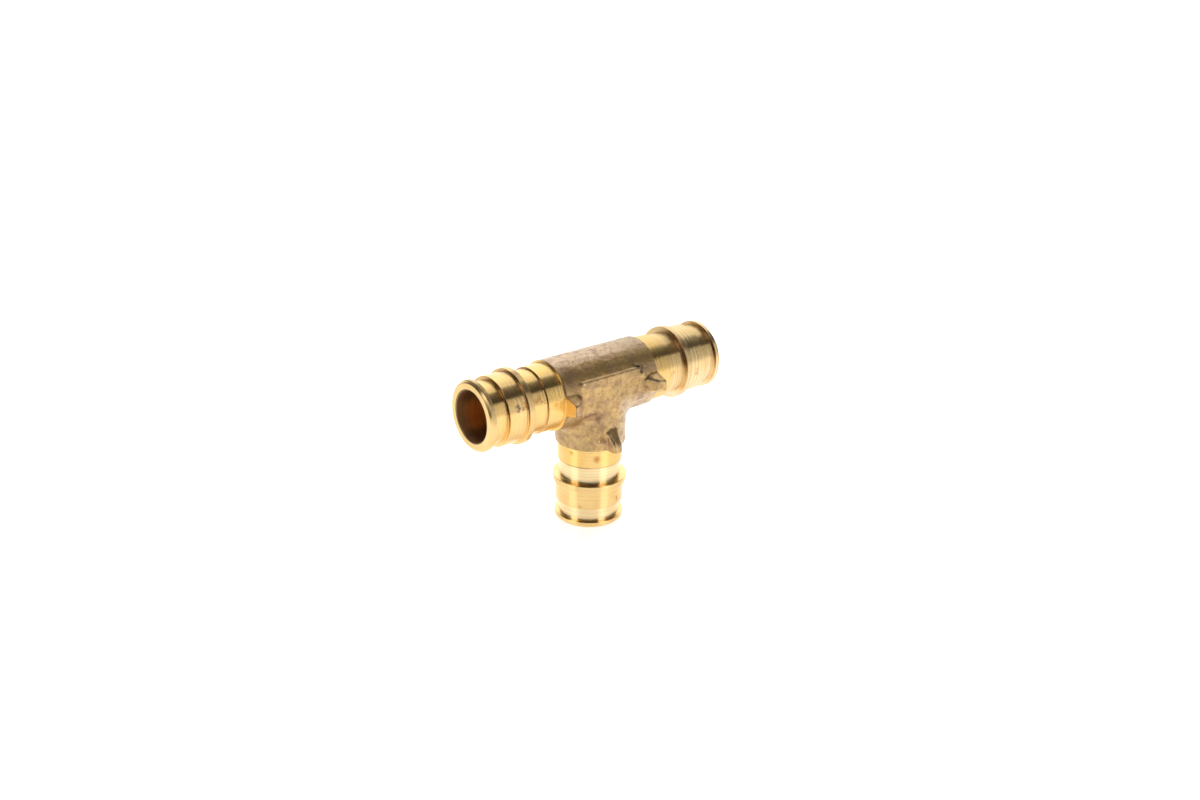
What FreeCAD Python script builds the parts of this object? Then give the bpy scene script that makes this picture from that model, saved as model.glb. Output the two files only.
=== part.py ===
import FreeCAD, Part
import math
import os

# Equal expansion tee for flexible plastic tube: one brass casting with its three spigots turned.
# The branch stands on its end face: the origin is the middle of that face, +Z up along the branch.
# The run lies along X. The lettering pad and the stop lugs face -Y. Sizes are in millimetres.

# Water way
bore_radius = 5.05
bore_edge_break = 0.2

# Radii of one spigot, from its end towards the body
end_rib_radius = 6.94
groove_radius = 6.16
seal_land_radius = 6.88
rib_radius = 7.45
neck_radius = 6.24
root_land_radius = 6.59

# Lengths of one spigot, from its end towards the body
end_rib_width = 1.25
end_chamfer_length = 0.5
end_chamfer_drop = 0.49
groove_width = 2.95
seal_land_width = 4.05
rib_width = 1.25
neck_width = 3.7
root_land_width = 3.95
turned_edge_break = 0.12

# Cast body, from the crossing of the axes to the shoulders
body_radius = 7.1
run_shoulder_distance = 11.25
branch_shoulder_distance = 11.75
crotch_radius = 2.0

# Flat lettering pad, a T seen from the front: a bar along the run and a strip down the branch
pad_inset = 0.4
pad_half_length = 7.4
pad_rise = 3.95
pad_drop = 3.3
pad_strip_half_width = 3.3
pad_strip_end_gap = 1.6
pad_edge_radius = 0.5

# Stop lugs, one standing out at the front of each shoulder with its end faced flush. Seen from the
# front each has straight sides up to its round start and a round inner end.
run_lug_height = 2.6
run_lug_length = 3.6
run_lug_crest_length = 1.35
run_lug_half_width = 1.85
run_lug_draft_degrees = 16.0
run_lug_round_start = 1.9
branch_lug_height = 2.2
branch_lug_length = 3.95
branch_lug_crest_length = 1.5
branch_lug_half_width = 1.38
branch_lug_draft_degrees = 10.0
branch_lug_round_start = 3.1
lug_side_radius = 0.5
lug_nose_radius = 2.2
lug_root_depth = 1.5

# Lengths closer than this count as equal
match = 1e-6

spigot_length = (end_rib_width + groove_width + seal_land_width + rib_width
                 + neck_width + root_land_width)
run_length = run_shoulder_distance + spigot_length
axis_height = branch_shoulder_distance + spigot_length

X = FreeCAD.Vector(1, 0, 0)
Y = FreeCAD.Vector(0, 1, 0)
Z = FreeCAD.Vector(0, 0, 1)
centre = Z * axis_height


def flat_face(corners):
    """Face with the given corners, in order round it."""
    points = [FreeCAD.Vector(*corner) for corner in corners]
    return Part.Face(Part.makePolygon(points + points[:1]))


def turned(outline):
    """Solid turned about Z from (radius, height) corners that start and end on the axis."""
    return flat_face([(radius, 0, height) for radius, height in outline]).revolve(FreeCAD.Vector(), Z, 360)


def band(start, radius, width, near_break=0.0, far_break=0.0):
    """Outline of one turned band, with its two edges broken where they stand out."""
    end = start + width
    corners = [(radius - near_break, start), (radius, start + near_break),
               (radius, end - far_break), (radius - far_break, end)]
    return [corner for index, corner in enumerate(corners) if corner not in corners[:index]]


def spigot_outline():
    """Outline of one spigot, from its end face to the shoulder of the body."""
    groove_start = end_rib_width
    land_start = groove_start + groove_width
    rib_start = land_start + seal_land_width
    neck_start = rib_start + rib_width
    root_start = neck_start + neck_width
    outline = [(end_rib_radius - end_chamfer_drop, 0)]
    outline += band(end_chamfer_length, end_rib_radius, end_rib_width - end_chamfer_length,
                    far_break=turned_edge_break)
    outline += band(groove_start, groove_radius, groove_width)
    outline += band(land_start, seal_land_radius, seal_land_width, near_break=turned_edge_break)
    outline += band(rib_start, rib_radius, rib_width, turned_edge_break, turned_edge_break)
    outline += band(neck_start, neck_radius, neck_width)
    outline += band(root_start, root_land_radius, root_land_width, near_break=turned_edge_break)
    return outline


def outer_arm(length):
    """Solid arm about Z, from its end face at the origin to the crossing of the axes."""
    body = [(body_radius, spigot_length), (body_radius, length), (0, length)]
    return turned([(0, 0)] + spigot_outline() + body)


def bore_arm(length):
    """Water way about Z, from its mouth at the origin, opened out a little at the mouth."""
    return turned([(0, 0), (bore_radius + bore_edge_break, 0), (bore_radius, bore_edge_break),
                   (bore_radius, length), (0, length)])


def joined_arms(make_arm):
    """Two run arms and the branch arm, joined where their axes cross."""
    left = make_arm(run_length)
    left.rotate(FreeCAD.Vector(), Y, 90)
    left.translate(centre - X * run_length)
    right = make_arm(run_length)
    right.rotate(FreeCAD.Vector(), Y, -90)
    right.translate(centre + X * run_length)
    return left.fuse([right, make_arm(axis_height)]).removeSplitter()


def rounded_crotches(tee):
    """The tee with a casting radius along the curves where run and branch meet."""
    meeting_edges = [edge for edge in tee.Edges if isinstance(edge.Curve, Part.Ellipse)]
    return tee.makeFillet(crotch_radius, meeting_edges)


def t_block(near_y, far_y):
    """Block with the T of the lettering pad for its front, between two depths."""
    depth = far_y - near_y
    bar = Part.makeBox(2 * pad_half_length, depth, pad_rise + pad_drop,
                       FreeCAD.Vector(-pad_half_length, near_y, axis_height - pad_drop))
    foot = spigot_length + pad_strip_end_gap
    strip = Part.makeBox(2 * pad_strip_half_width, depth, axis_height - foot,
                         FreeCAD.Vector(-pad_strip_half_width, near_y, foot))
    return bar.fuse(strip).removeSplitter()


def with_pad(tee):
    """The tee with its front flattened over the pad, and the pad's corners standing proud."""
    face_y = pad_inset - body_radius
    pad = t_block(face_y, 0)
    front_edges = [edge for edge in pad.Edges if abs(edge.BoundBox.YMax - face_y) < match]
    pad = pad.makeFillet(pad_edge_radius, front_edges)
    return tee.fuse(pad).cut(t_block(-2 * body_radius, face_y))


def lug_sides(height, half_width, draft_degrees, round_start):
    """Drafted block of a stop lug, round at its inner end, with its root sunk in the body."""
    root = body_radius - lug_root_depth
    crest = body_radius + height
    draft = math.tan(math.radians(draft_degrees))
    root_side = half_width + lug_root_depth * draft
    crest_side = half_width - height * draft
    block = flat_face([(root, -root_side, 0), (crest, -crest_side, 0),
                       (crest, crest_side, 0), (root, root_side, 0)]).extrude(Z * round_start)
    half_section = flat_face([(root, 0, round_start), (crest, 0, round_start),
                              (crest, crest_side, round_start), (root, root_side, round_start)])
    round_end = half_section.revolve(Z * round_start, X, 180)
    return block.fuse(round_end).removeSplitter()


def lug_nose(height, half_width, crest_length, length):
    """Block with a stop lug's outline seen from the side: a crest, then a fall, blended together."""
    root = body_radius - lug_root_depth
    crest = body_radius + height
    foot = length + lug_root_depth * (length - crest_length) / height
    width = 4 * half_width
    outline = [(root, 0), (crest, 0), (crest, crest_length), (root, foot)]
    block = flat_face([(out, -width / 2, along) for out, along in outline]).extrude(Y * width)
    corner = [edge for edge in block.Edges
              if abs(edge.BoundBox.XMin - crest) < match and abs(edge.BoundBox.ZMin - crest_length) < match]
    return block.makeFillet(lug_nose_radius, corner)


def stop_lug(height, half_width, draft_degrees, crest_length, length, round_start):
    """Stop lug about a flat end at the origin: it stands out along X and falls away along Z."""
    sides = lug_sides(height, half_width, draft_degrees, round_start)
    lug = sides.common(lug_nose(height, half_width, crest_length, length))
    root = body_radius - lug_root_depth
    rim = []
    for edge in lug.Edges:
        box = edge.BoundBox
        at_one_distance = box.ZLength < match
        if not at_one_distance and box.XMax > root + match:
            rim.append(edge)
    return lug.makeFillet(lug_side_radius, rim)


def placed(lug, shoulder, inward):
    """Stop lug with its flat end in the plane of a shoulder, falling away inward."""
    lug = lug.copy()
    lug.Placement = FreeCAD.Placement(shoulder, FreeCAD.Rotation(-Y, inward.cross(-Y), inward, "ZXY"))
    return lug


def tee_fitting():
    """The whole fitting as one solid."""
    run_lug = stop_lug(run_lug_height, run_lug_half_width, run_lug_draft_degrees,
                       run_lug_crest_length, run_lug_length, run_lug_round_start)
    branch_lug = stop_lug(branch_lug_height, branch_lug_half_width, branch_lug_draft_degrees,
                          branch_lug_crest_length, branch_lug_length, branch_lug_round_start)
    lugs = [
        placed(run_lug, centre - X * run_shoulder_distance, X),
        placed(run_lug, centre + X * run_shoulder_distance, -X),
        placed(branch_lug, Z * spigot_length, Z),
    ]
    tee = with_pad(rounded_crotches(joined_arms(outer_arm)))
    return tee.fuse(lugs).cut(joined_arms(bore_arm)).removeSplitter()


os.makedirs("parts", exist_ok=True)
tee_fitting().exportStep("parts/tee_fitting.step")
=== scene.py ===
"""Dressed model of the expansion tee, built around its CAD frame.

Blender works in metres. The shapes below are worked out in millimetres, in the frame of the CAD:
the origin is the middle of the branch's end face, +Z up along the branch, the run along X.
"""
import math

import bmesh
import bpy
import numpy as np
from mathutils import Matrix, Vector


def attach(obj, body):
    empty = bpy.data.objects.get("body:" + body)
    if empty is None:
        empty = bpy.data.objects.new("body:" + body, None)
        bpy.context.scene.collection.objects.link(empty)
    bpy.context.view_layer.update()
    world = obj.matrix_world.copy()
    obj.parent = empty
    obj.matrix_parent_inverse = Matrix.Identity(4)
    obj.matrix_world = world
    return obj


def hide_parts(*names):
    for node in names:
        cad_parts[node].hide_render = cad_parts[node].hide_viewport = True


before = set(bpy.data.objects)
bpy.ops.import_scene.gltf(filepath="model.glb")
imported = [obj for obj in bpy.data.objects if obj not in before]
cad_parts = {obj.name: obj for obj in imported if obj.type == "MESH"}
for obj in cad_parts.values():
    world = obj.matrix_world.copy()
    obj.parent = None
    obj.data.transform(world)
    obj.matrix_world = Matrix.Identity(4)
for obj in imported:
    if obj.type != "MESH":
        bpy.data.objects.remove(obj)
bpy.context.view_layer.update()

MM = 0.001

# Sizes of the CAD solid, in millimetres
BORE_RADIUS = 5.05
BORE_EDGE_BREAK = 0.2
BODY_RADIUS = 7.1
SPIGOT_LENGTH = 17.15
RUN_SHOULDER = 11.25
AXIS_HEIGHT = 28.9
RUN_LENGTH = RUN_SHOULDER + SPIGOT_LENGTH
BRANCH_SHOULDER = SPIGOT_LENGTH
CROTCH_RADIUS = 2.0
PAD_FACE_Y = -6.7
PAD_HALF_LENGTH = 7.4
PAD_TOP, PAD_BOTTOM = AXIS_HEIGHT + 3.95, AXIS_HEIGHT - 3.3
STRIP_HALF_WIDTH = 3.3
STRIP_FOOT = BRANCH_SHOULDER + 1.6
PAD_EDGE_RADIUS = 0.5
LUG_NOSE_RADIUS = 2.2

# Softer forms of the casting, drawn here only. The pad's sides and ends fade out over these distances.
# Its top edge stands up at once to the ledge's share of its full height, and rounds over from there,
# with its curve and its slope held where they would run to nothing or to infinity.
LUG_SIDE_RADIUS = 0.75
LUG_ROOT_RADIUS = 0.6
PAD_CORNER_RADIUS = 0.8
PAD_SIDE_FADE = (-0.35, 0.45)
PAD_END_FADE = 0.5
LEDGE_FADE = (-0.1, 0.0)
LEDGE_SHARE = 0.4
STEEPEST_EDGE = 12
LEAST_CURVE = 0.01

# Least slope that the field is divided by where body and pad blend
LEAST_SLOPE = 0.3

# Dent round the upper right corner of the pad: points along it, its half width and its depth
DENT_LINE = ((6.3, -5.72, 33.15), (6.95, -6.1, 32.6), (7.3, -6.45, 31.9))
DENT_HALF_WIDTH = 0.55
DENT_DEPTH = 0.3

# Cast skin: its slow waves and its grain, each as (seed, number of waves, shortest, longest), their
# heights, where the grain's peaks are cut off, and how far the skin lies inside the drawn shape
SLOW_WAVES = (11, 28, 2.4, 6.0)
GRAIN_WAVES = (12, 60, 0.7, 1.4)
WAVE_HEIGHT = 0.035
GRAIN_HEIGHT = 0.008
GRAIN_PEAK = 2
SKIN_INSET = 0.051


class Lug:
    """Sizes of a stop lug: straight sides up to its round start, and a round inner end."""

    def __init__(self, height, half_width, draft_degrees, crest_length, length, round_start):
        self.height = height
        self.half_width = half_width
        self.draft = math.radians(draft_degrees)
        self.crest_length = crest_length
        self.length = length
        self.round_start = round_start


RUN_LUG = Lug(2.6, 1.85, 16, 1.35, 3.6, 1.9)
BRANCH_LUG = Lug(2.2, 1.38, 10, 1.5, 3.95, 3.1)

# Turned outline of one spigot: (distance from its end face, radius, radius of the corner). The large
# rib is a hair smaller than the solid's, whose facets fall that much short of its true radius.
SPIGOT_CORNERS = [
    (0.0, 6.45, 0.10), (0.5, 6.94, 0.12), (1.25, 6.94, 0.08), (1.25, 6.16, 0.10),
    (4.2, 6.16, 0.10), (4.2, 6.88, 0.10), (8.25, 6.88, 0.10), (8.25, 7.447, 0.10),
    (9.5, 7.447, 0.10), (9.5, 6.24, 0.12), (13.2, 6.24, 0.10), (13.2, 6.59, 0.08),
    (17.15, 6.59, 0.12),
]
SHOULDER_RING_RADIUS = 6.85
MOUTH_DEPTH = 2.0
MOUTH_CORNER_RADIUS = 0.03

# Fineness of the turned parts: points round a ring, rings along a bore, points on a rounded corner,
# the room before and after such a corner, and the longest gap between rings
ROUND_TURN = 128
BORE_RINGS = 13
CORNER_STEPS = 4
CORNER_ROOM = 0.04
LONGEST_GAP = 1.6

# Points closer than this are one point
WELD = 1e-4

# Least length that anything is divided by
TINY = 1e-6

# Grid that the casting is meshed on: (start, end, step) along each axis, finest round the pad's ledge
CAST_GRID = (
    ((-12.15, 12.15, 0.2),),
    ((-10.4, -7.5, 0.18), (-7.5, -5.5, 0.13), (-5.5, 7.7, 0.25)),
    ((16.25, 31.85, 0.2), (31.85, 33.45, 0.11), (33.45, 36.65, 0.25)),
)


# Distance fields of the casting. A field is (distance, direction it grows in) at each point. The lean
# of two fields is the cosine between their directions. Past the first they count as parallel, and
# below the second they make a thin wedge, which gets no fillet.
PARALLEL_LEAN = 0.999
THIN_WEDGE_LEAN = -0.7


def joined(a, b, radius):
    """Union of two fields, with a fillet of that radius in the corner between them."""
    (distance_a, normal_a), (distance_b, normal_b) = a, b
    room_a, room_b = radius - distance_a, radius - distance_b
    lean = np.clip(np.sum(normal_a * normal_b, axis=1), -PARALLEL_LEAN, PARALLEL_LEAN)
    part_a = (room_a - lean * room_b) / (1 - lean ** 2)
    part_b = (room_b - lean * room_a) / (1 - lean ** 2)
    towards_centre = part_a[:, None] * normal_a + part_b[:, None] * normal_b
    reach = np.maximum(np.linalg.norm(towards_centre, axis=1), TINY)
    in_fillet = ((part_a > 0) & (part_b > 0) & (room_a > 0) & (room_b > 0) & (lean > THIN_WEDGE_LEAN)
                 & (distance_a > -radius) & (distance_b > -radius))
    nearest = np.where(distance_a < distance_b, distance_a, distance_b)
    nearest_normal = np.where((distance_a < distance_b)[:, None], normal_a, normal_b)
    return (np.where(in_fillet, radius - reach, nearest),
            np.where(in_fillet[:, None], towards_centre / reach[:, None], nearest_normal))


def outside(a):
    """Everything but a field's solid."""
    return -a[0], -a[1]


def shared(a, b, radius):
    """What two fields have in common, with its edge rounded to that radius."""
    return outside(joined(outside(a), outside(b), radius))


def below(points, normal, height):
    """Half space under the plane at that height along a normal."""
    normal = np.array(normal, float)
    return points @ normal - height, np.broadcast_to(normal, points.shape)


def cylinder(points, along, middle, radius):
    """Endless cylinder along axis 0, 1 or 2 through a middle point."""
    offset = points - np.array(middle, float)
    offset[:, along] = 0
    reach = np.maximum(np.linalg.norm(offset, axis=1), TINY)
    return reach - radius, offset / reach[:, None]


def slab(points, along, low, high):
    """Space between two planes across axis 0, 1 or 2."""
    normal = [0.0, 0.0, 0.0]
    normal[along] = 1.0
    upper = below(points, normal, high)
    lower = below(points, [-part for part in normal], -low)
    return shared(upper, lower, 0.0)


def lettering_t(points):
    """The T of the pad, seen from the front: its bar is endless to both sides and upwards."""
    bar = below(points, (0, 0, -1), -PAD_BOTTOM)
    strip = shared(slab(points, 0, -STRIP_HALF_WIDTH, STRIP_HALF_WIDTH),
                   below(points, (0, 0, -1), -STRIP_FOOT), PAD_CORNER_RADIUS)
    return joined(bar, strip, PAD_CORNER_RADIUS)


def smooth_step(value, low, high):
    """Smooth step from 0 to 1 while the value goes from low to high, and its slope."""
    share = np.clip((value - low) / (high - low), 0, 1)
    return share ** 2 * (3 - 2 * share), 6 * share * (1 - share) / (high - low)


def with_pad(points, body):
    """The body with its front drawn level over the T: a crisp rounded ledge at its top, soft edges
    at its sides and foot."""
    flat = below(points, (0, -1, 0), -PAD_FACE_Y)
    edge_distance, edge_normal = lettering_t(points)
    inside, inside_slope = smooth_step(-edge_distance, *PAD_SIDE_FADE)
    sideways = np.zeros(points.shape)
    sideways[:, 0] = np.sign(points[:, 0])
    to_end = PAD_HALF_LENGTH - np.abs(points[:, 0])
    within, within_slope = smooth_step(to_end, -PAD_END_FADE, PAD_END_FADE)
    depth = PAD_TOP - points[:, 2]
    ledge, ledge_slope = smooth_step(depth, *LEDGE_FADE)
    rounded = np.clip(depth / PAD_EDGE_RADIUS, 0.0, 1.0)
    curve = np.maximum(np.sqrt(1 - (1 - rounded) ** 2), LEAST_CURVE)
    curve_slope = np.where((rounded > 0) & (rounded < 1), (1 - rounded) / curve / PAD_EDGE_RADIUS, 0)
    curve_slope = np.minimum(curve_slope, STEEPEST_EDGE)
    rise = LEDGE_SHARE + (1 - LEDGE_SHARE) * curve
    top = ledge * rise
    top_slope = ledge_slope * rise + ledge * (1 - LEDGE_SHARE) * curve_slope
    front = points[:, 1] < 0
    share = inside * within * top * front
    gap = (flat[0] - body[0])[:, None]
    up = np.array((0.0, 0.0, 1.0))
    slope = -(inside_slope * within * top * front)[:, None] * edge_normal
    slope -= (inside * within_slope * top * front)[:, None] * sideways
    slope -= (inside * within * top_slope * front)[:, None] * up
    distance = body[0] * (1 - share) + flat[0] * share
    gradient = body[1] * (1 - share)[:, None] + flat[1] * share[:, None] + gap * slope
    length = np.maximum(np.linalg.norm(gradient, axis=1), LEAST_SLOPE)
    return distance / length, gradient / length[:, None]


def stop_lug(points, shoulder, inward, lug):
    """Drafted wedge at the front of a shoulder, round at its inner end. It falls away inward."""
    inward = np.array(inward, float)
    sideways = np.cross(inward, (0, -1, 0))
    out = np.array((0.0, -1.0, 0.0))
    local = points - np.array(shoulder, float)
    past_round_start = np.maximum(local @ inward - lug.round_start, 0)
    spread = (local @ sideways)[:, None] * sideways + past_round_start[:, None] * inward
    reach = np.maximum(np.linalg.norm(spread, axis=1), TINY)
    level, lean = math.cos(lug.draft), math.sin(lug.draft)
    wall = (reach - lug.half_width) * level + (local @ out - BODY_RADIUS) * lean
    wall_normal = level * spread / reach[:, None] + lean * out
    crest = below(local, out, BODY_RADIUS + lug.height)
    run = lug.length - lug.crest_length
    ramp_normal = inward * lug.height + out * run
    ramp_length = np.linalg.norm(ramp_normal)
    ramp_height = (lug.length * lug.height + BODY_RADIUS * run) / ramp_length
    ramp = below(local, ramp_normal / ramp_length, ramp_height)
    top = shared(crest, ramp, LUG_NOSE_RADIUS)
    front = shared((wall, wall_normal), below(local, (0, 1, 0), 0.0), 0.0)
    return shared(front, top, LUG_SIDE_RADIUS)


def wave_sum(points, seed, count, shortest, longest):
    """Smooth random relief, mostly between -1.5 and 1.5, made of waves of those lengths in
    millimetres."""
    draw = np.random.default_rng(seed)
    heading = draw.normal(size=(count, 3))
    heading /= np.linalg.norm(heading, axis=1)[:, None]
    wave_number = 2 * math.pi / draw.uniform(shortest, longest, count)
    start = draw.uniform(0, 2 * math.pi, count)
    total = np.zeros(len(points))
    for direction, number, phase in zip(heading, wave_number, start):
        total += np.sin(points @ (direction * number) + phase)
    return total / math.sqrt(count)


def casting(points):
    """Field of the cast body, running on past its three shoulders."""
    centre = (0, 0, AXIS_HEIGHT)
    run = cylinder(points, 0, centre, BODY_RADIUS)
    branch = shared(cylinder(points, 2, centre, BODY_RADIUS), below(points, (0, 0, 1), AXIS_HEIGHT), 0.0)
    crossed = joined(run, branch, CROTCH_RADIUS)
    high = points[:, 2] > AXIS_HEIGHT
    body = (np.where(high, run[0], crossed[0]), np.where(high[:, None], run[1], crossed[1]))
    body = with_pad(points, body)
    for side in (-1, 1):
        lug = stop_lug(points, (side * RUN_SHOULDER, 0, AXIS_HEIGHT), (-side, 0, 0), RUN_LUG)
        body = joined(body, lug, LUG_ROOT_RADIUS)
    lug = stop_lug(points, (0, 0, BRANCH_SHOULDER), (0, 0, 1), BRANCH_LUG)
    return joined(body, lug, LUG_ROOT_RADIUS)


def dent(points):
    """Depth of the dent at each point."""
    nearest = np.full(len(points), np.inf)
    for start, stop in zip(DENT_LINE, DENT_LINE[1:]):
        start, stop = np.array(start), np.array(stop)
        line = stop - start
        share = np.clip((points - start) @ line / (line @ line), 0, 1)
        nearest = np.minimum(nearest, np.linalg.norm(points - start - share[:, None] * line, axis=1))
    return DENT_DEPTH * smooth_step(DENT_HALF_WIDTH - nearest, 0.0, DENT_HALF_WIDTH)[0]


def cast_skin(points):
    """Height of the cast skin over the drawn shape, never above it: slow waviness and a fine grain."""
    waviness = wave_sum(points, *SLOW_WAVES)
    grain = wave_sum(points, *GRAIN_WAVES)
    relief = WAVE_HEIGHT * np.tanh(waviness) + GRAIN_HEIGHT * np.clip(grain, -GRAIN_PEAK, GRAIN_PEAK)
    return relief - SKIN_INSET - dent(points)


def grid_axis(stretches):
    """Grid planes along one axis, through stretches of (start, end, step)."""
    planes = [np.linspace(start, end, round((end - start) / step), endpoint=False)
              for start, end, step in stretches]
    return np.concatenate(planes + [[stretches[-1][1]]])


def surface_nets(field_at, axes, portions=8):
    """Quads of the surface of a field, on a grid with those planes along X, Y and Z. The field is
    worked out in portions, to save memory."""
    shape = tuple(len(axis) for axis in axes)
    grid = np.stack(np.meshgrid(*axes, indexing="ij"), axis=-1).reshape(-1, 3)
    values = np.concatenate([field_at(part) for part in np.array_split(grid, portions)]).reshape(shape)
    cell_shape = tuple(size - 1 for size in shape)
    total = np.zeros(cell_shape + (3,))
    count = np.zeros(cell_shape)
    crossings = []
    for axis in range(3):
        near = [slice(None)] * 3
        far = [slice(None)] * 3
        near[axis] = slice(0, -1)
        far[axis] = slice(1, None)
        start, stop = values[tuple(near)], values[tuple(far)]
        cells = np.argwhere((start < 0) != (stop < 0))
        first, second = [other for other in range(3) if other != axis]
        inside = ((cells[:, first] > 0) & (cells[:, first] < shape[first] - 1)
                  & (cells[:, second] > 0) & (cells[:, second] < shape[second] - 1))
        cells = cells[inside]
        before, after = start[tuple(cells.T)], stop[tuple(cells.T)]
        place = np.stack([axes[k][cells[:, k]] for k in range(3)], axis=1)
        gap = np.diff(axes[axis])[cells[:, axis]]
        place[:, axis] += gap * before / (before - after)
        around = []
        for back_first, back_second in ((0, 0), (1, 0), (1, 1), (0, 1)):
            cell = cells.copy()
            cell[:, first] -= back_first
            cell[:, second] -= back_second
            np.add.at(total, tuple(cell.T), place)
            np.add.at(count, tuple(cell.T), 1)
            around.append(np.ravel_multi_index(tuple(cell.T), cell_shape))
        flip = (before < 0) != (axis == 1)
        quads = np.stack(around, axis=1)
        quads[flip] = quads[flip][:, ::-1]
        crossings.append(quads)
    quads = np.concatenate(crossings)
    used, numbered = np.unique(quads, return_inverse=True)
    points = (total.reshape(-1, 3)[used]) / count.reshape(-1)[used][:, None]
    return points, numbered.reshape(quads.shape)


class Neighbours:
    """Which points of a quad mesh lie next to each other."""

    def __init__(self, quads, size):
        pairs = np.concatenate([quads[:, [k, (k + 1) % 4]] for k in range(4)])
        self.here, self.there = pairs[:, 0], pairs[:, 1]
        self.size = size
        self.count = np.maximum(self.sum(np.ones(len(pairs))), 1)

    def sum(self, values):
        """Sum at each point of a value on each of its edges."""
        total = np.zeros((self.size,) + values.shape[1:])
        np.add.at(total, self.here, values)
        return total

    def mean(self, values):
        """Mean over each point's neighbours of a value on the points."""
        total = self.sum(values[self.there])
        return total / (self.count if values.ndim == 1 else self.count[:, None])


def relaxed(points, neighbours, passes=4, pull=0.6, corrections=2):
    """Points pulled towards the middle of their neighbours and put back onto the casting, in passes."""
    for _ in range(passes):
        points = (1 - pull) * points + pull * neighbours.mean(points)
        for _ in range(corrections):
            distance, normal = casting(points)
            points = points - distance[:, None] * normal
    return points


def hollowness(points, neighbours, normal, smoothings=3):
    """How hollow the surface is at each point: the sum of its two curvatures, smoothed, per millimetre."""
    edges = points[neighbours.there] - points[neighbours.here]
    spread = neighbours.sum(np.sum(edges ** 2, axis=1))
    lift = np.sum((neighbours.mean(points) - points) * normal, axis=1)
    hollow = 4 * lift * neighbours.count / np.maximum(spread, TINY)
    for _ in range(smoothings):
        hollow = (hollow + neighbours.mean(hollow)) / 2
    return hollow


def cast_body():
    """Mesh of the cast skin, cut off at the three shoulders."""
    axes = [grid_axis(stretches) for stretches in CAST_GRID]
    points, quads = surface_nets(lambda part: casting(part)[0], axes)
    neighbours = Neighbours(quads, len(points))
    points = relaxed(points, neighbours)
    normal = casting(points)[1]
    hollow = hollowness(points, neighbours, normal)
    points = points + cast_skin(points)[:, None] * normal
    mesh = bpy.data.meshes.new("cast_body")
    mesh.from_pydata(points.tolist(), [], quads.tolist())
    mesh.attributes.new("hollow", "FLOAT", "POINT").data.foreach_set("value", hollow)
    shell = bmesh.new()
    shell.from_mesh(mesh)
    bpy.data.meshes.remove(mesh)
    for place, outward in (((RUN_SHOULDER, 0, 0), (1, 0, 0)), ((-RUN_SHOULDER, 0, 0), (-1, 0, 0)),
                           ((0, 0, BRANCH_SHOULDER), (0, 0, -1))):
        bmesh.ops.bisect_plane(shell, geom=shell.verts[:] + shell.edges[:] + shell.faces[:],
                               dist=WELD / 10, plane_co=place, plane_no=outward, clear_outer=True)
    return shell


def rounded_outline(corners):
    """Outline through (distance, radius, corner radius) points, with its corners rounded and its
    straight parts held by extra points, so that the polished surface shades evenly."""
    outline = []
    for index, (along, out, corner_radius) in enumerate(corners):
        here = Vector((along, out))
        if index in (0, len(corners) - 1) or corner_radius == 0:
            outline.append(here)
            continue
        before = (Vector(corners[index - 1][:2]) - here).normalized()
        after = (Vector(corners[index + 1][:2]) - here).normalized()
        half = before.angle(after) / 2
        setback = corner_radius / math.tan(half)
        middle = here + (before + after).normalized() * (corner_radius / math.sin(half))
        start, stop = here + before * setback, here + after * setback
        first, last = (start - middle).normalized(), (stop - middle).normalized()
        arc = [middle + first.slerp(last, k / CORNER_STEPS) * corner_radius
               for k in range(CORNER_STEPS + 1)]
        outline += [start + before * CORNER_ROOM] + arc + [stop + after * CORNER_ROOM]
    filled = [outline[0]]
    for point in outline[1:]:
        gap = (point - filled[-1]).length
        last = filled[-1].copy()
        pieces = max(1, math.ceil(gap / LONGEST_GAP))
        filled += [last.lerp(point, k / pieces) for k in range(1, pieces + 1)]
    return filled


def spigot_outline():
    """Outline of one spigot, from its bore over the end face to the shoulder."""
    mouth = [(MOUTH_DEPTH, BORE_RADIUS, 0), (BORE_EDGE_BREAK, BORE_RADIUS, MOUTH_CORNER_RADIUS),
             (0.0, BORE_RADIUS + BORE_EDGE_BREAK, MOUTH_CORNER_RADIUS)]
    shoulder = [(SPIGOT_LENGTH, SHOULDER_RING_RADIUS, 0)]
    return rounded_outline(mouth + SPIGOT_CORNERS + shoulder)


# Which way the arms of the run point, along X
SIDES = {"left": -1, "right": 1}


def arm_matrix(arm):
    """Turn and shift that place an arm which stands on its end face at the origin."""
    if arm == "branch":
        return np.eye(3), np.zeros(3)
    side = SIDES[arm]
    turn = np.array([[0, 0, -side], [0, 1, 0], [side, 0, 0]], float)
    return turn, np.array([side * RUN_LENGTH, 0, AXIS_HEIGHT])


def add_grid(shell, rings, material):
    """Adds rings of points, each a closed loop of as many points, as quads from ring to ring."""
    made = [[shell.verts.new(point) for point in ring] for ring in rings]
    for ring, following in zip(made, made[1:]):
        for k in range(len(ring)):
            after = (k + 1) % len(ring)
            face = shell.faces.new((ring[k], ring[after], following[after], following[k]))
            face.material_index = material


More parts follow.
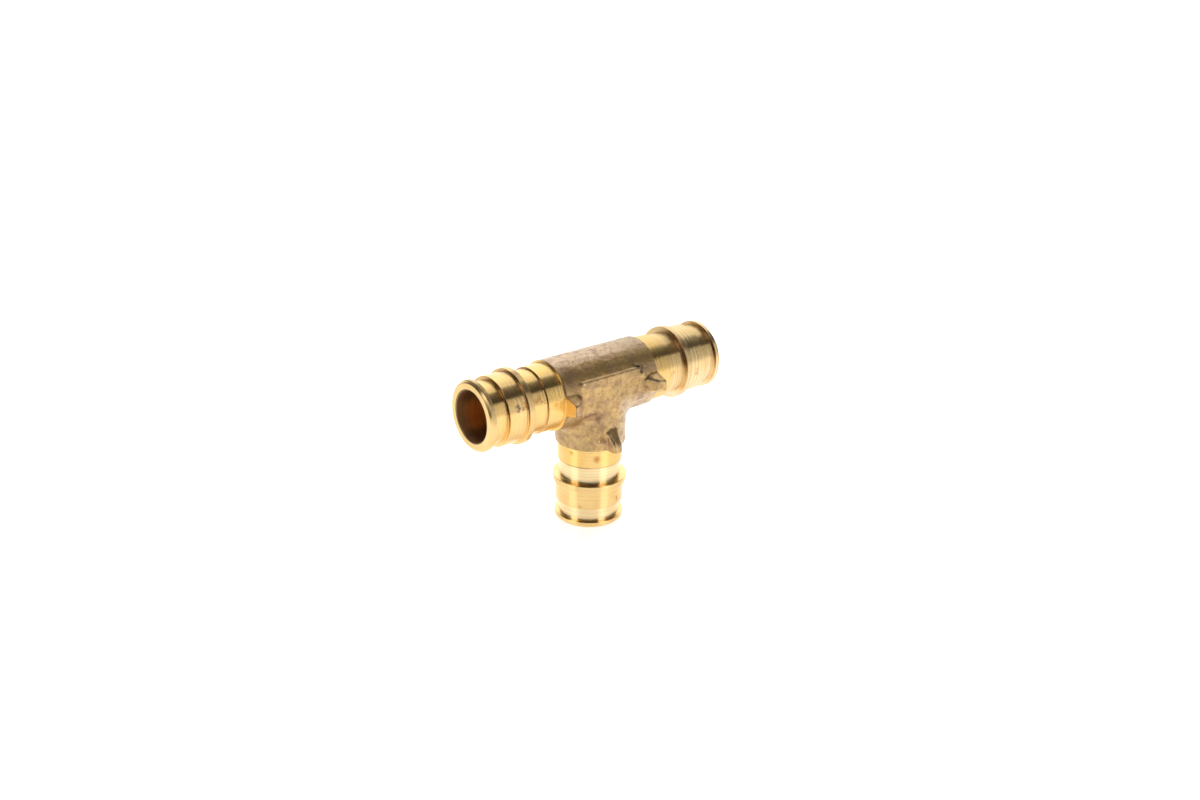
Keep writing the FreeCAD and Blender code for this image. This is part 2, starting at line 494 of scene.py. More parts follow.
def arm_rings(arm):
    """Rings of one arm: from the crossing of the bores outwards, on to its mouth, back to the shoulder."""
    angle = np.arange(ROUND_TURN) * 2 * math.pi / ROUND_TURN
    around = np.stack([np.cos(angle), np.sin(angle), np.zeros(ROUND_TURN)], axis=1)
    turn, place = arm_matrix(arm)
    if arm == "branch":
        inner = AXIS_HEIGHT - BORE_RADIUS * np.abs(np.cos(angle))
    else:
        inner = RUN_LENGTH - BORE_RADIUS * np.maximum(0, -SIDES[arm] * np.cos(angle))
    bore = []
    for share in np.linspace(0, 1, BORE_RINGS, endpoint=False):
        depth = inner * (1 - share) + MOUTH_DEPTH * share
        bore.append(around * BORE_RADIUS + depth[:, None] * np.array([0, 0, 1.0]))
    outline = spigot_outline()
    spigot = [around * point.y + np.array([0, 0, point.x]) for point in outline]
    in_bore = sum(1 for point in outline if point.y < BORE_RADIUS + WELD)
    placed = [ring @ turn.T + place for ring in bore + spigot]
    return placed[:len(bore)], placed[len(bore):len(bore) + in_bore], placed[len(bore) + in_bore:]


# Numbers of the materials, in the order in which they go on the piece
TURNED_RUN, TURNED_BRANCH, CAST, BORE = range(4)

# Edges sharper than this are drawn sharp
SHARP_ANGLE = math.radians(38)


def fill_shoulder(shell, axis, height, material):
    """Flat machined face between the edge of the casting and the ring round a root land, in the plane
    at that height along axis 0, 1 or 2."""
    edges = [edge for edge in shell.edges
             if edge.is_boundary and all(abs(vert.co[axis] - height) < WELD for vert in edge.verts)]
    made = bmesh.ops.triangle_fill(shell, use_beauty=True, use_dissolve=False, edges=edges)
    for face in made["geom"]:
        if isinstance(face, bmesh.types.BMFace):
            face.material_index = material


def tee_mesh():
    """The whole fitting as one closed mesh."""
    shell = cast_body()
    for face in shell.faces:
        face.material_index = CAST
    for arm in ("left", "right", "branch"):
        turned = TURNED_BRANCH if arm == "branch" else TURNED_RUN
        bore, mouth, spigot = arm_rings(arm)
        add_grid(shell, bore + mouth, BORE)
        add_grid(shell, mouth[-1:] + spigot, turned)
    bmesh.ops.remove_doubles(shell, verts=shell.verts[:], dist=WELD)
    fill_shoulder(shell, 0, RUN_SHOULDER, TURNED_RUN)
    fill_shoulder(shell, 0, -RUN_SHOULDER, TURNED_RUN)
    fill_shoulder(shell, 2, BRANCH_SHOULDER, TURNED_BRANCH)
    bmesh.ops.recalc_face_normals(shell, faces=shell.faces[:])
    bmesh.ops.scale(shell, vec=(MM, MM, MM), verts=shell.verts[:])
    for face in shell.faces:
        face.smooth = True
    mesh = bpy.data.meshes.new("tee")
    shell.to_mesh(mesh)
    shell.free()
    mesh.set_sharp_from_angle(angle=SHARP_ANGLE)
    return mesh


class Graph:
    """Adds shader nodes to a tree and links them."""

    def __init__(self, tree):
        self.tree = tree
        tree.nodes.clear()

    def put(self, socket, value):
        """Links a socket to another's output, or sets it."""
        if isinstance(value, bpy.types.NodeSocket):
            self.tree.links.new(value, socket)
        elif value is not None:
            socket.default_value = value

    def add(self, kind, *values, **settings):
        """Adds a node with its settings and first inputs."""
        node = self.tree.nodes.new(kind)
        for name, value in settings.items():
            setattr(node, name, value)
        for socket, value in zip(node.inputs, values):
            self.put(socket, value)
        return node

    def math(self, operation, *values):
        """Result of a Math node."""
        return self.add("ShaderNodeMath", *values, operation=operation).outputs[0]

    def product(self, first, *others):
        """Product of some numbers."""
        for other in others:
            first = self.math("MULTIPLY", first, other)
        return first

    def largest(self, first, *others):
        """Largest of some numbers."""
        for other in others:
            first = self.math("MAXIMUM", first, other)
        return first

    def vector(self, operation, *values, output=0):
        """Result of a Vector Math node."""
        return self.add("ShaderNodeVectorMath", *values, operation=operation).outputs[output]

    def split(self, vector):
        """The three parts of a vector."""
        return self.add("ShaderNodeSeparateXYZ", vector).outputs

    def combined(self, x, y, z):
        """Vector made of three parts."""
        return self.add("ShaderNodeCombineXYZ", x, y, z).outputs[0]

    def place(self):
        """Place on the object, in millimetres."""
        node = self.add("ShaderNodeVectorMath", self.add("ShaderNodeTexCoord").outputs["Object"],
                        operation="SCALE")
        node.inputs["Scale"].default_value = 1 / MM
        return node.outputs[0]

    def stretched(self, place, factors):
        """Place with each of its parts multiplied by a factor."""
        return self.vector("MULTIPLY", place, factors)

    def shaken(self, place, scale, distance):
        """Place moved about at random, to make edges ragged."""
        node = self.add("ShaderNodeTexNoise", place)
        node.inputs["Scale"].default_value = scale
        offset = self.vector("SUBTRACT", node.outputs["Color"], (0.5, 0.5, 0.5))
        return self.vector("MULTIPLY_ADD", offset, (2 * distance,) * 3, place)

    def ramp(self, value, low, high, start=0.0, stop=1.0):
        """Smooth step from start to stop while the value goes from low to high."""
        node = self.add("ShaderNodeMapRange", value, low, high, start, stop,
                        interpolation_type="SMOOTHSTEP")
        return node.outputs[0]

    def band(self, value, low, high, soft=0.04):
        """1 where the value lies between low and high, falling to 0 over a soft edge."""
        rise = self.ramp(value, low - soft, low + soft)
        return self.product(rise, self.ramp(value, high - soft, high + soft, 1.0, 0.0))

    def noise(self, place, scale, detail=2.0, roughness=0.5):
        """Value of a noise texture, at a place or along a line."""
        node = self.add("ShaderNodeTexNoise")
        if place.type == "VECTOR":
            self.put(node.inputs["Vector"], place)
        else:
            node.noise_dimensions = "1D"
            self.put(node.inputs["W"], place)
        node.inputs["Scale"].default_value = scale
        node.inputs["Detail"].default_value = detail
        node.inputs["Roughness"].default_value = roughness
        return node.outputs[0]

    def spots(self, place, spots):
        """Strength of the spots, given as (x, y, z, radius, strength), which fade out to their edges."""
        strengths = []
        for x, y, z, radius, strength in spots:
            distance = self.vector("DISTANCE", place, (x, y, z), output="Value")
            strengths.append(self.ramp(distance, 0.0, radius, strength, 0.0))
        return self.largest(*strengths)

    def mixed(self, share, first, second):
        """Number between two others."""
        node = self.add("ShaderNodeMix", data_type="FLOAT")
        self.put(node.inputs["Factor"], share)
        self.put(node.inputs["A"], first)
        self.put(node.inputs["B"], second)
        return node.outputs["Result"]

    def colour(self, share, first, second):
        """Colour between two others."""
        node = self.add("ShaderNodeMix", data_type="RGBA")
        self.put(node.inputs["Factor"], share)
        for name, value in (("A", first), ("B", second)):
            self.put(node.inputs[name], value if isinstance(value, bpy.types.NodeSocket) else (*value, 1))
        return node.outputs["Result"]

    def bump(self, height, strength, distance, below_it=None):
        """Normal bent by a height, which counts as a share of that distance in millimetres."""
        node = self.add("ShaderNodeBump")
        node.inputs["Strength"].default_value = strength
        node.inputs["Distance"].default_value = distance * MM
        self.put(node.inputs["Height"], height)
        self.put(node.inputs["Normal"], below_it)
        return node.outputs[0]

    def metal(self, colour, roughness, normal):
        """Metal surface of that colour, joined to the output."""
        shader = self.add("ShaderNodeBsdfPrincipled")
        shader.inputs["Metallic"].default_value = 1.0
        self.put(shader.inputs["Base Color"], colour)
        self.put(shader.inputs["Roughness"], roughness)
        self.put(shader.inputs["Normal"], normal)
        self.add("ShaderNodeOutputMaterial", shader.outputs[0])
        return shader


def new_graph(name):
    """New material and the graph of its nodes."""
    material = bpy.data.materials.new(name)
    material.use_nodes = True
    return material, Graph(material.node_tree)


# Stretches of a turned spigot, in millimetres from its end face
END_RIM = (0.42, 1.24)
GROOVE = (1.27, 4.18)
RIB_RIM = (8.34, 9.41)
NECK = (9.52, 13.18)
ROOT_LAND = (13.22, 17.3)
STEPPED_PART = (1.0, 15.0)
RUN_DIRT = (13.02, 13.25)
BRANCH_DIRT = (12.9, 13.34)

# Rings on the end faces of the run, in millimetres from its axis
FACE_EDGE = (6.38, 6.56)
MOUTH_EDGE = (5.34, 5.27)

# Where the left arm's finish goes over into the right arm's, along X
OVER_TO_RIGHT = (0.0, 14.0)

# How much the turned rings stretch a highlight, where they are clean and where they are worn, and the
# turn that lays the stretch across them
CLEAN_STRETCH = 0.97
WORN_STRETCH = 0.5
STRETCH_TURN = 0.25

# Height of the turned rings and of the chatter marks, in millimetres
RUN_RING_HEIGHT = 0.06
BRANCH_RING_HEIGHT = 0.02
CHATTER_HEIGHT = 0.06

# Colours of the turned brass
GOLD = (0.89, 0.62, 0.27)
DEEP_GOLD = (0.84, 0.56, 0.22)
RUN_GROOVE_GOLD = (0.88, 0.58, 0.20)
BRANCH_GROOVE_GOLD = (0.93, 0.74, 0.43)
# Painted sheen: the paler cream of the right arm
FAR_ARM_SHEEN = (0.95, 0.78, 0.51)
OLIVE = (0.66, 0.50, 0.22)
STREAK_BROWN = (0.74, 0.50, 0.21)
AMBER = (0.86, 0.56, 0.18)
WORN_BROWN = (0.58, 0.42, 0.22)
CORNER_DIRT = (0.40, 0.20, 0.08)
# Painted dark reflection and shade on the rims of the run
RIM_PAINTED_SHADE = (0.33, 0.22, 0.10)
# Painted dark reflection and shade, dark and reddish, on the faces that look left
FLANK_SHADE_DARK = (0.17, 0.09, 0.045)
FLANK_SHADE_RED = (0.50, 0.23, 0.09)
MOUTH_BROWN = (0.20, 0.12, 0.06)
STAIN_ORANGE = (0.58, 0.23, 0.05)
STAIN_PURPLE = (0.26, 0.17, 0.15)

# Stains on the turned brass, as (x, y, z, radius, strength), lengths in millimetres
RUN_STAINS = [
    (-21.17, -6.75, 31.12, 0.6, 1.2), (-20.4, -6.4, 32.0, 0.6, 1.1), (-20.4, -6.6, 31.3, 0.6, 1.0),
    (-17.59, -5.74, 31.36, 0.8, 0.7), (-16.79, -5.57, 31.71, 0.7, 0.7), (-16.42, -5.87, 31.01, 0.6, 0.5),
    (-13.62, -6.51, 29.91, 0.7, 0.5), (21.82, -6.83, 28.11, 0.7, 0.6), (21.9, -6.8, 28.9, 0.7, 0.4),
    (15.39, -6.24, 29.00, 0.7, 0.5), (16.19, -6.22, 29.46, 0.6, 0.4),
]
RUN_PURPLE_STAINS = [
    (-22.22, -6.31, 31.63, 0.7, 1.0), (-22.04, -6.44, 31.31, 0.6, 0.9), (-22.31, -6.60, 30.85, 0.6, 0.9),
]
BRANCH_STAINS = [
    (-6.26, -2.07, 16.07, 0.7, 0.8), (-2.96, -5.89, 15.23, 1.1, 0.7), (-2.80, -5.92, 14.85, 0.8, 0.5),
    (1.91, -6.61, 5.72, 0.6, 0.7), (1.95, -6.60, 5.20, 0.6, 0.5), (-5.48, -4.16, 4.69, 0.6, 0.4),
]


class TurnedPattern:
    """Places and patterns on a turned spigot, whose rings run round X on the run and Z on the branch."""

    def __init__(self, graph, run):
        self.place = graph.place()
        self.x, self.y, self.z = graph.split(self.place)
        if run:
            self.end = graph.math("SUBTRACT", RUN_LENGTH, graph.math("ABSOLUTE", self.x))
            self.tangent = graph.combined(0.0, graph.math("SUBTRACT", AXIS_HEIGHT, self.z), self.y)
            along_rings, across_rings = (3.6, 0.12, 0.12), (0.5, 2.4, 2.4)
        else:
            self.end = self.z
            self.tangent = graph.combined(graph.product(self.y, -1.0), self.x, 0.0)
            along_rings, across_rings = (0.12, 0.12, 3.6), (2.4, 2.4, 0.5)
        self.streaks = graph.noise(graph.stretched(self.place, along_rings), 1.0, 3)
        self.chatter = graph.noise(graph.stretched(self.place, across_rings), 1.0, 2)
        self.patches = graph.noise(self.place, 0.22, 3)
        self.rings = graph.noise(self.end, 2.2, 4)
        self.grooves = graph.largest(graph.band(self.end, *GROOVE), graph.band(self.end, *NECK))
        self.rib_rim = graph.band(self.end, *RIB_RIM)
        self.root_land = graph.band(self.end, *ROOT_LAND)


def run_gold(graph, at, gold):
    """Clean colour of the run: deeper in its grooves and ringed with olive on its right arm, which is also
    paler with a painted sheen that grows towards its underside.
    """
    gold = graph.colour(graph.product(at.grooves, 0.5), gold, RUN_GROOVE_GOLD)
    # Painted sheen: paler on the right arm, more so towards its underside
    far_arm_sheen = graph.product(graph.ramp(at.x, 10.0, 20.0), graph.ramp(at.z, 30.5, 26.0, 0.3, 0.85))
    gold = graph.colour(far_arm_sheen, gold, FAR_ARM_SHEEN)
    olive = graph.product(graph.ramp(at.rings, 0.48, 0.62), graph.ramp(at.x, 5.0, 14.0, 0.0, 0.45))
    return graph.colour(olive, gold, OLIVE)


def run_wear(graph, at, end_rim):
    """Chattered wear on the crests of the run: the top of the left end rib, less on the large ribs."""
    left_top = graph.product(end_rim, graph.ramp(at.x, -20.0, -24.0), graph.ramp(at.z, 28.0, 30.5))
    crests = graph.largest(left_top, graph.product(at.rib_rim, 0.5))
    return graph.product(crests, graph.ramp(at.chatter, 0.3, 0.55, 0.55, 1.0))


def painted_dark_rims(graph, at, end_rim, off_axis):
    """Painted dark reflections on top of the left arm's ribs, broken up by the chatter marks, and painted
    shade along the upper edge of the end faces.
    """
    ribs = graph.product(graph.largest(end_rim, at.rib_rim), graph.ramp(at.x, -16.0, -20.0),
                         graph.band(at.y, -3.4, -0.8, 0.6), graph.ramp(at.z, 29.0, 31.0, 0.0, 0.9),
                         graph.ramp(at.chatter, 0.35, 0.55, 0.6, 1.0))
    edge = graph.product(graph.band(off_axis, *FACE_EDGE), graph.ramp(at.end, 0.2, 0.1),
                         graph.ramp(at.z, 29.5, 32.5, 0.0, 0.85))
    return graph.largest(ribs, edge)


def painted_shade_on_flanks(graph, at):
    """Painted dark reflection and shade on the steps' upright faces that look left, most at their front
    and top.
    """
    facing = graph.split(graph.add("ShaderNodeTexCoord").outputs["Normal"])[0]
    return graph.product(graph.ramp(facing, -0.7, -0.95), graph.band(at.end, *STEPPED_PART, 0.1),
                         graph.ramp(at.z, 26.5, 31.0, 0.0, 0.9), graph.ramp(at.y, -3.5, 0.5, 1.0, 0.35))


def turned_brass(name, run):
    """Bright brass turned on a lathe, for the run or for the branch."""
    material, graph = new_graph(name)
    at = TurnedPattern(graph, run)

    gold = graph.colour(graph.ramp(at.patches, 0.35, 0.7), GOLD, DEEP_GOLD)
    if run:
        end_rim = graph.band(at.end, *END_RIM)
        gold = run_gold(graph, at, gold)
        streaked = graph.mixed(graph.ramp(at.x, *OVER_TO_RIGHT), 0.35, 0.75)
        worn = run_wear(graph, at, end_rim)
    else:
        gold = graph.colour(graph.product(at.grooves, 0.8), gold, BRANCH_GROOVE_GOLD)
        streaked = graph.mixed(at.root_land, 0.35, 0.5)
        worn = graph.product(at.rib_rim, 0.2)
    streaked = graph.product(streaked, graph.ramp(at.rings, 0.44, 0.60),
                             graph.ramp(at.streaks, 0.35, 0.6, 0.5, 1.0))
    gold = graph.colour(streaked, gold, STREAK_BROWN)
    amber = graph.product(at.root_land, graph.ramp(at.patches, 0.35, 0.65, 0.45, 0.9))
    gold = graph.colour(amber, gold, AMBER)
    gold = graph.colour(graph.product(worn, 0.6), gold, WORN_BROWN)
    dirt_and_painted_shade = graph.product(graph.band(at.end, *(RUN_DIRT if run else BRANCH_DIRT), 0.05),
                         graph.ramp(at.patches, 0.35, 0.6, 0.4, 0.9), 0.85)
    gold = graph.colour(dirt_and_painted_shade, gold, CORNER_DIRT)
    if run:
        off_axis = graph.vector("DISTANCE", graph.stretched(at.place, (0.0, 1.0, 1.0)),
                                (0.0, 0.0, AXIS_HEIGHT), output="Value")
        # Painted dark reflections on the left arm's ribs and painted shade along the end faces' upper edge
        gold = graph.colour(painted_dark_rims(graph, at, end_rim, off_axis), gold, RIM_PAINTED_SHADE)
        # Painted dark reflection and shade on the steps' faces that look left
        flank_shade = graph.colour(graph.ramp(at.chatter, 0.45, 0.68), FLANK_SHADE_DARK, FLANK_SHADE_RED)
        gold = graph.colour(painted_shade_on_flanks(graph, at), gold, flank_shade)
        mouth = graph.ramp(off_axis, *MOUTH_EDGE, 0.0, 0.8)
        gold = graph.colour(mouth, gold, MOUTH_BROWN)
    shaken = graph.shaken(at.place, 1.2, 0.2)
    stains = graph.spots(shaken, RUN_STAINS if run else BRANCH_STAINS)
    gold = graph.colour(stains, gold, STAIN_ORANGE)
    if run:
        gold = graph.colour(graph.spots(shaken, RUN_PURPLE_STAINS), gold, STAIN_PURPLE)

    if run:
        roughness = graph.mixed(graph.ramp(at.x, *OVER_TO_RIGHT), 0.25, 0.30)
    else:
        roughness = graph.ramp(at.patches, 0.3, 0.7, 0.19, 0.24)
    roughness = graph.mixed(worn, roughness, 0.45)
    roughness = graph.mixed(graph.product(stains, 0.5), roughness, 0.5)
    rough = worn
    if run:
        roughness = graph.mixed(mouth, roughness, 0.6)
        rough = graph.largest(worn, mouth)
        rings = graph.product(at.rings, graph.ramp(at.x, *OVER_TO_RIGHT, 0.4, 1.0))
        normal = graph.bump(rings, 1.0, RUN_RING_HEIGHT)
    else:
        normal = graph.bump(at.rings, 1.0, BRANCH_RING_HEIGHT)
    normal = graph.bump(graph.product(at.chatter, worn), 0.5, CHATTER_HEIGHT, normal)
    shader = graph.metal(gold, roughness, normal)
    graph.put(shader.inputs["Anisotropic"], graph.mixed(rough, CLEAN_STRETCH, WORN_STRETCH))
    shader.inputs["Anisotropic Rotation"].default_value = STRETCH_TURN
    graph.put(shader.inputs["Tangent"], at.tangent)
    return material


# Colours of the cast skin
CAST_LIGHT = (0.63, 0.415, 0.168)
CAST_DARK = (0.47, 0.295, 0.13)
CAST_DULL = (0.46, 0.325, 0.165)
# Painted light: a grey sheen on the top, dark reflections on the upper right and above the pad, a pale
# sheen down the branch's right side
TOP_PAINTED_SHEEN = (0.62, 0.47, 0.335)
FAR_SIDE_PAINTED_SHADE = (0.36, 0.27, 0.15)
ABOVE_PAD_PAINTED_SHADE = (0.42, 0.26, 0.08)
RIGHT_SIDE_PAINTED_SHEEN = (0.74, 0.60, 0.44)
CAST_PURPLE = (0.38, 0.23, 0.16)
BLOTCH_BROWN = (0.29, 0.17, 0.075)
GRAIN_LIGHT = (0.86, 0.64, 0.36)
GRAIN_DARK = (0.30, 0.19, 0.10)
# Painted shade, also the brown of the blotches
CAST_SHADE_AND_BLOTCH = (0.25, 0.14, 0.08)
EDGE_WEAR = (0.88, 0.70, 0.44)
# Painted shade in the dent
DENT_PAINTED_SHADE = (0.05, 0.035, 0.025)

# Painted shade beside the branch's crease and round the lugs, with some brown blotches, on the casting, as
# (x, y, z, radius, strength), lengths in millimetres
CAST_BLOTCHES_AND_SHADE = [
    (-3.1, -6.5, 24.4, 1.9, 1.4), (-2.7, -6.8, 22.4, 1.7, 1.2), (-3.27, -6.89, 27.2, 1.2, 0.6),
    (-10.4, -8.6, 31.4, 1.6, 1.2), (-9.1, -8.0, 30.7, 1.0, 0.8), (8.4, -7.2, 31.0, 1.2, 0.7),
    (-2.4, -6.9, 19.6, 1.2, 0.4), (-7.4, -5.4, 24.4, 1.4, 0.6), (-1.9, -7.4, 19.0, 1.2, 0.6),
    (7.8, -6.8, 29.8, 1.3, 0.9), (8.1, -6.8, 28.5, 1.3, 0.9), (7.9, -6.6, 27.2, 1.2, 0.6),
    (-8.6, -3.5, 34.6, 3.0, 0.45), (-9.8, -5.6, 32.6, 2.2, 0.4),
]

# Painted black shade in the dent at the pad's corner
DENT_SHADE_SPOTS = [(6.4, -5.75, 33.1, 1.0, 0.9), (6.9, -6.1, 32.6, 1.1, 1.0), (7.3, -6.45, 31.9, 1.0, 1.0)]


def cast_painted_light(graph, x, y, z, grain):
    """Painted light on the casting, as (share, colour): a grey sheen along its top, dark reflections on
    its upper right and above the pad, and a pale sheen down the branch's right side.
    """
    return [
        (graph.product(graph.ramp(z, 34.7, 35.8), graph.ramp(grain, 0.3, 0.6, 0.4, 0.9)), TOP_PAINTED_SHEEN),
        (graph.product(graph.ramp(x, 0.0, 10.0), graph.ramp(z, 30.5, 33.0, 0.0, 0.55)), FAR_SIDE_PAINTED_SHADE),
        (graph.product(graph.band(z, 33.0, 35.1, 0.4), graph.ramp(y, 0.0, -2.0, 0.0, 0.55)),
         ABOVE_PAD_PAINTED_SHADE),
        (graph.product(graph.ramp(x, 1.2, 2.8), graph.ramp(z, 28.0, 26.0, 0.0, 0.55)), RIGHT_SIDE_PAINTED_SHEEN),
    ]


def cast_brass(name):
    """Dull, mottled skin of the brass casting, with painted shade in its hollows and a painted grey sheen
    along its top.
    """
    material, graph = new_graph(name)
    place = graph.place()
    x, y, z = graph.split(place)
    hollow = graph.add("ShaderNodeAttribute", attribute_name="hollow").outputs["Fac"]
    broad = graph.noise(place, 0.16, 3, 0.55)
    patches = graph.noise(place, 0.45, 4, 0.6)
    blotches = graph.noise(place, 1.1, 5, 0.65)
    grain = graph.noise(place, 3.4, 4, 0.6)
    elsewhere = graph.vector("ADD", place, (31.0, 17.0, 5.0))
    purple = graph.noise(graph.stretched(elsewhere, (0.5, 1.0, 1.0)), 0.6, 4)

    brown = graph.colour(graph.ramp(patches, 0.38, 0.62), CAST_LIGHT, CAST_DARK)
    brown = graph.colour(graph.ramp(broad, 0.45, 0.60, 0.0, 0.45), brown, CAST_DULL)
    # Painted sheen and dark reflections over the casting
    for share, tone in cast_painted_light(graph, x, y, z, grain):
        brown = graph.colour(share, brown, tone)
    brown = graph.colour(graph.ramp(purple, 0.50, 0.66, 0.0, 0.55), brown, CAST_PURPLE)
    brown = graph.colour(graph.ramp(blotches, 0.50, 0.66, 0.0, 0.5), brown, BLOTCH_BROWN)
    brown = graph.colour(graph.ramp(grain, 0.54, 0.68, 0.0, 0.38), brown, GRAIN_LIGHT)
    brown = graph.colour(graph.ramp(grain, 0.46, 0.32, 0.0, 0.35), brown, GRAIN_DARK)
    # Painted shade in the hollows, along the left shoulder and in spots by the crease and the lugs; some
    # of the spots are brown blotches
    spots = graph.spots(graph.shaken(place, 0.7, 0.8), CAST_BLOTCHES_AND_SHADE)
    shade_in_hollows = graph.ramp(hollow, 0.5, 1.8, 0.0, 0.8)
    shade_by_left_shoulder = graph.ramp(x, -10.85, -11.15, 0.0, 0.7)
    dirt_and_painted_shade = graph.largest(shade_in_hollows, graph.product(spots, 0.65), shade_by_left_shoulder)
    brown = graph.colour(dirt_and_painted_shade, brown, CAST_SHADE_AND_BLOTCH)
    worn = graph.product(graph.ramp(hollow, -1.1, -2.0), graph.ramp(grain, 0.35, 0.55, 0.3, 0.8))
    brown = graph.colour(worn, brown, EDGE_WEAR)
    # Painted black shade in the dent at the pad's corner
    dent_shade = graph.product(graph.spots(graph.shaken(place, 1.5, 0.3), DENT_SHADE_SPOTS), 0.9)
    brown = graph.colour(dent_shade, brown, DENT_PAINTED_SHADE)

    roughness = graph.mixed(worn, graph.ramp(blotches, 0.3, 0.7, 0.36, 0.52), 0.32)
    normal = graph.bump(blotches, 0.55, 0.12)
    normal = graph.bump(grain, 0.6, 0.08, normal)
    shader = graph.metal(brown, roughness, normal)
    shader.inputs["Coat Weight"].default_value = 0.05
    shader.inputs["Coat Roughness"].default_value = 0.3
    return material


# Colours of the bore, and where its mouth's edge ends, in millimetres from the end face
BORE_BROWN = (0.44, 0.25, 0.10)
# Red oxide, brightened into a painted glow of light bounced deep in the bore
BORE_RED_GLOW = (1.0, 0.34, 0.05)
BORE_STREAK = (0.34, 0.14, 0.04)
# Painted shade along the bore's floor and roof
BORE_PAINTED_SHADE = (0.08, 0.045, 0.025)
BORE_EDGE_BROWN = (0.16, 0.11, 0.06)
BORE_SHEEN = (0.60, 0.34, 0.18, 1)
BORE_EDGE = (0.35, 0.2)


def bored_brass(name):
    """Tarnished brass of the water way: brown near the run's mouths and redder further in, with a painted
    glow there, and painted shade along its floor and roof and all down the branch."""
    material, graph = new_graph(name)
    place = graph.place()
    x, _, z = graph.split(place)
    depth = graph.math("SUBTRACT", RUN_LENGTH, graph.math("ABSOLUTE", x))
    streaks = graph.noise(graph.stretched(place, (4.0, 0.25, 0.25)), 1.0, 2)
    # Redder further in, with a painted glow
    colour = graph.colour(graph.ramp(depth, 0.3, 4.0), BORE_BROWN, BORE_RED_GLOW)
    colour = graph.colour(graph.ramp(streaks, 0.45, 0.62, 0.0, 0.3), colour, BORE_STREAK)
    # Painted shade along the floor and roof, and all down the branch
    low = graph.ramp(z, AXIS_HEIGHT - 3.5, AXIS_HEIGHT - 4.8)
    high = graph.ramp(z, AXIS_HEIGHT - 1.0, AXIS_HEIGHT + 2.0)
    bore_shade = graph.product(graph.largest(low, high), graph.ramp(depth, 0.3, 2.0, 0.3, 0.8))
    colour = graph.colour(bore_shade, colour, BORE_PAINTED_SHADE)
    colour = graph.colour(graph.ramp(depth, *BORE_EDGE), colour, BORE_EDGE_BROWN)
    shader = graph.metal(colour, graph.ramp(depth, *BORE_EDGE, 0.4, 0.6), None)
    shader.inputs["Metallic"].default_value = 0.4
    shader.inputs["Specular IOR Level"].default_value = 0.1
    shader.inputs["Specular Tint"].default_value = BORE_SHEEN
    return material


def tee_piece():
    """The dressed fitting, in place of the CAD node."""
    piece = bpy.data.objects.new("tee", tee_mesh())
    bpy.context.scene.collection.objects.link(piece)
    for material in (turned_brass("turned_run", True), turned_brass("turned_branch", False),
                     cast_brass("cast_skin"), bored_brass("bore")):
        piece.data.materials.append(material)
    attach(piece, "root")
    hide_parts("tee_fitting")


# The photograph's view
CAMERA_AZIMUTH = math.radians(-39.14)
CAMERA_ELEVATION = math.radians(23.60)
CAMERA_ROLL = math.radians(1.598)
CAMERA_DISTANCE = 273.5 * MM
CAMERA_FOCAL_PIXELS = 1362.8
PHOTO_WIDTH = 1200
SENSOR_WIDTH = 36.0
NEAREST_SEEN = 10 * MM
LOOK_AT_HEIGHT = 17.34 * MM
LOOK_AT_RIGHT = 1.782 * MM
LOOK_AT_UP = 7.225 * MM


def make_camera():
    """Camera at the photograph's viewing angle."""
    back = Vector((math.sin(CAMERA_AZIMUTH) * math.cos(CAMERA_ELEVATION),
                   -math.cos(CAMERA_AZIMUTH) * math.cos(CAMERA_ELEVATION), math.sin(CAMERA_ELEVATION)))
    right = Vector((0, 0, 1)).cross(back).normalized()
    up = back.cross(right)
    look_at = Vector((0, 0, LOOK_AT_HEIGHT)) + right * LOOK_AT_RIGHT + up * LOOK_AT_UP
    place = Matrix.Translation(look_at + back * CAMERA_DISTANCE)
    rolled_right = right * math.cos(CAMERA_ROLL) + up * math.sin(CAMERA_ROLL)
    rolled_up = up * math.cos(CAMERA_ROLL) - right * math.sin(CAMERA_ROLL)
    data = bpy.data.cameras.new("camera")
    data.sensor_width = SENSOR_WIDTH
    data.lens = CAMERA_FOCAL_PIXELS / PHOTO_WIDTH * SENSOR_WIDTH
    data.clip_start = NEAREST_SEEN
    camera = bpy.data.objects.new("camera", data)
    camera.matrix_world = place @ Matrix((rolled_right, rolled_up, back)).transposed().to_4x4()
    bpy.context.scene.collection.objects.link(camera)
    bpy.context.scene.camera = camera


# Light boxes of the studio's sky: the azimuths over which each starts and ends, counted from the
# camera's to both sides, the elevations over which it fades, all in degrees, and its strength
FRONT_BOXES = ((38, 43), (69, 64), (47, 43), 2.6)
BOX_SHOULDERS = ((62, 70), (92, 74), (50, 38), 0.4)
HIGH_SIDES = ((88, 108), (135, 120), (25, 40), 0.15)
BACKDROP = ((125, 140), None, (75, 55), 1.9)
GROUND_FADE = (1, -1)
GROUND_LIGHT = 1.3
ROOM_LIGHT = 0.05

# Lamp over the part, and the floor
LAMP_SIZE = 1.0
LAMP_HEIGHT = 0.9
LAMP_WATTS = 3.5
FLOOR_SIZE = 3.0
FLOOR_WHITE = (0.9, 0.9, 0.9, 1)
FLOOR_ROUGHNESS = 0.15
FLOOR_GLOW = 0.6


def sky_box(graph, azimuth, elevation, starts, ends, fades, strength):
    """Light of one box of the sky."""
    box = graph.ramp(azimuth, *starts)
    if ends:
        box = graph.product(box, graph.ramp(azimuth, *ends))
    return graph.product(box, graph.ramp(elevation, *fades), strength)


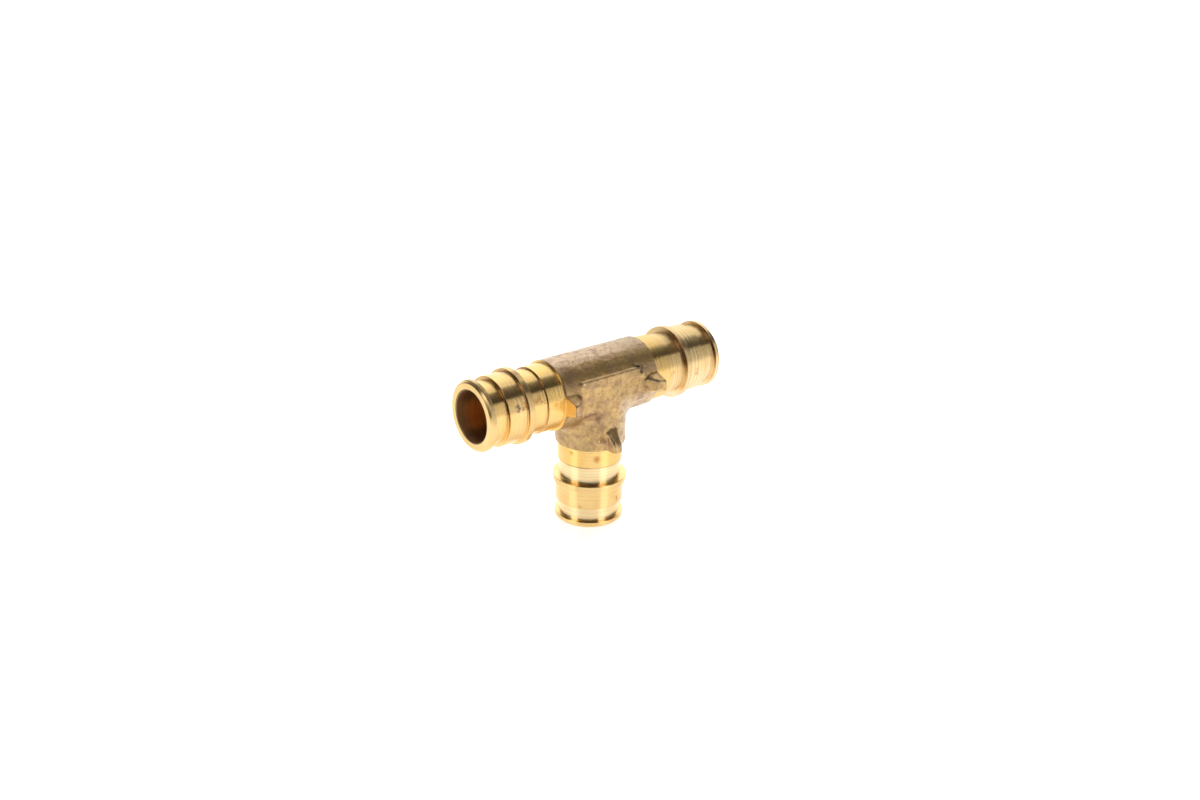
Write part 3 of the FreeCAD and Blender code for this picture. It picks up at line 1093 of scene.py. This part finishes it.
def make_sky():
    """White ground and backdrop, soft boxes at both sides of the front and a dark room elsewhere."""
    world = bpy.data.worlds.new("studio")
    bpy.context.scene.world = world
    world.use_nodes = True
    graph = Graph(world.node_tree)
    x, y, z = graph.split(graph.add("ShaderNodeTexCoord").outputs["Generated"])
    elevation = graph.math("DEGREES", graph.math("ARCSINE", z))
    level = graph.vector("NORMALIZE", graph.combined(x, y, 0.0))
    ahead = (math.sin(CAMERA_AZIMUTH), -math.cos(CAMERA_AZIMUTH), 0.0)
    facing = graph.vector("DOT_PRODUCT", level, ahead, output="Value")
    azimuth = graph.math("DEGREES", graph.math("ARCCOSINE", facing))

    light = graph.math("ADD", sky_box(graph, azimuth, elevation, *FRONT_BOXES),
                       sky_box(graph, azimuth, elevation, *BACKDROP))
    light = graph.largest(light, graph.ramp(elevation, *GROUND_FADE, 0.0, GROUND_LIGHT))
    for box in (HIGH_SIDES, BOX_SHOULDERS):
        light = graph.math("ADD", light, sky_box(graph, azimuth, elevation, *box))
    light = graph.math("ADD", light, ROOM_LIGHT)
    background = graph.add("ShaderNodeBackground", None, light)
    graph.add("ShaderNodeOutputWorld", background.outputs[0])


def make_lamp():
    """Soft round lamp over the part, which lights it without showing in its reflections."""
    data = bpy.data.lights.new("overhead", "AREA")
    data.shape = "DISK"
    data.size = LAMP_SIZE
    data.energy = LAMP_WATTS
    lamp = bpy.data.objects.new("overhead", data)
    lamp.location = (0, 0, LAMP_HEIGHT)
    lamp.visible_glossy = False
    lamp.visible_camera = False
    bpy.context.scene.collection.objects.link(lamp)


def make_floor():
    """Plain white floor, a little bright in itself."""
    bpy.ops.mesh.primitive_plane_add(size=FLOOR_SIZE, location=(0, 0, 0))
    floor = bpy.context.object
    floor.name = "floor"
    material, graph = new_graph("floor")
    shader = graph.add("ShaderNodeBsdfPrincipled")
    shader.inputs["Base Color"].default_value = FLOOR_WHITE
    shader.inputs["Roughness"].default_value = FLOOR_ROUGHNESS
    shader.inputs["Emission Color"].default_value = (1, 1, 1, 1)
    shader.inputs["Emission Strength"].default_value = FLOOR_GLOW
    graph.add("ShaderNodeOutputMaterial", shader.outputs[0])
    floor.data.materials.append(material)


make_camera()
make_sky()
make_lamp()
make_floor()
bpy.context.scene.view_settings.view_transform = "Standard"
tee_piece()
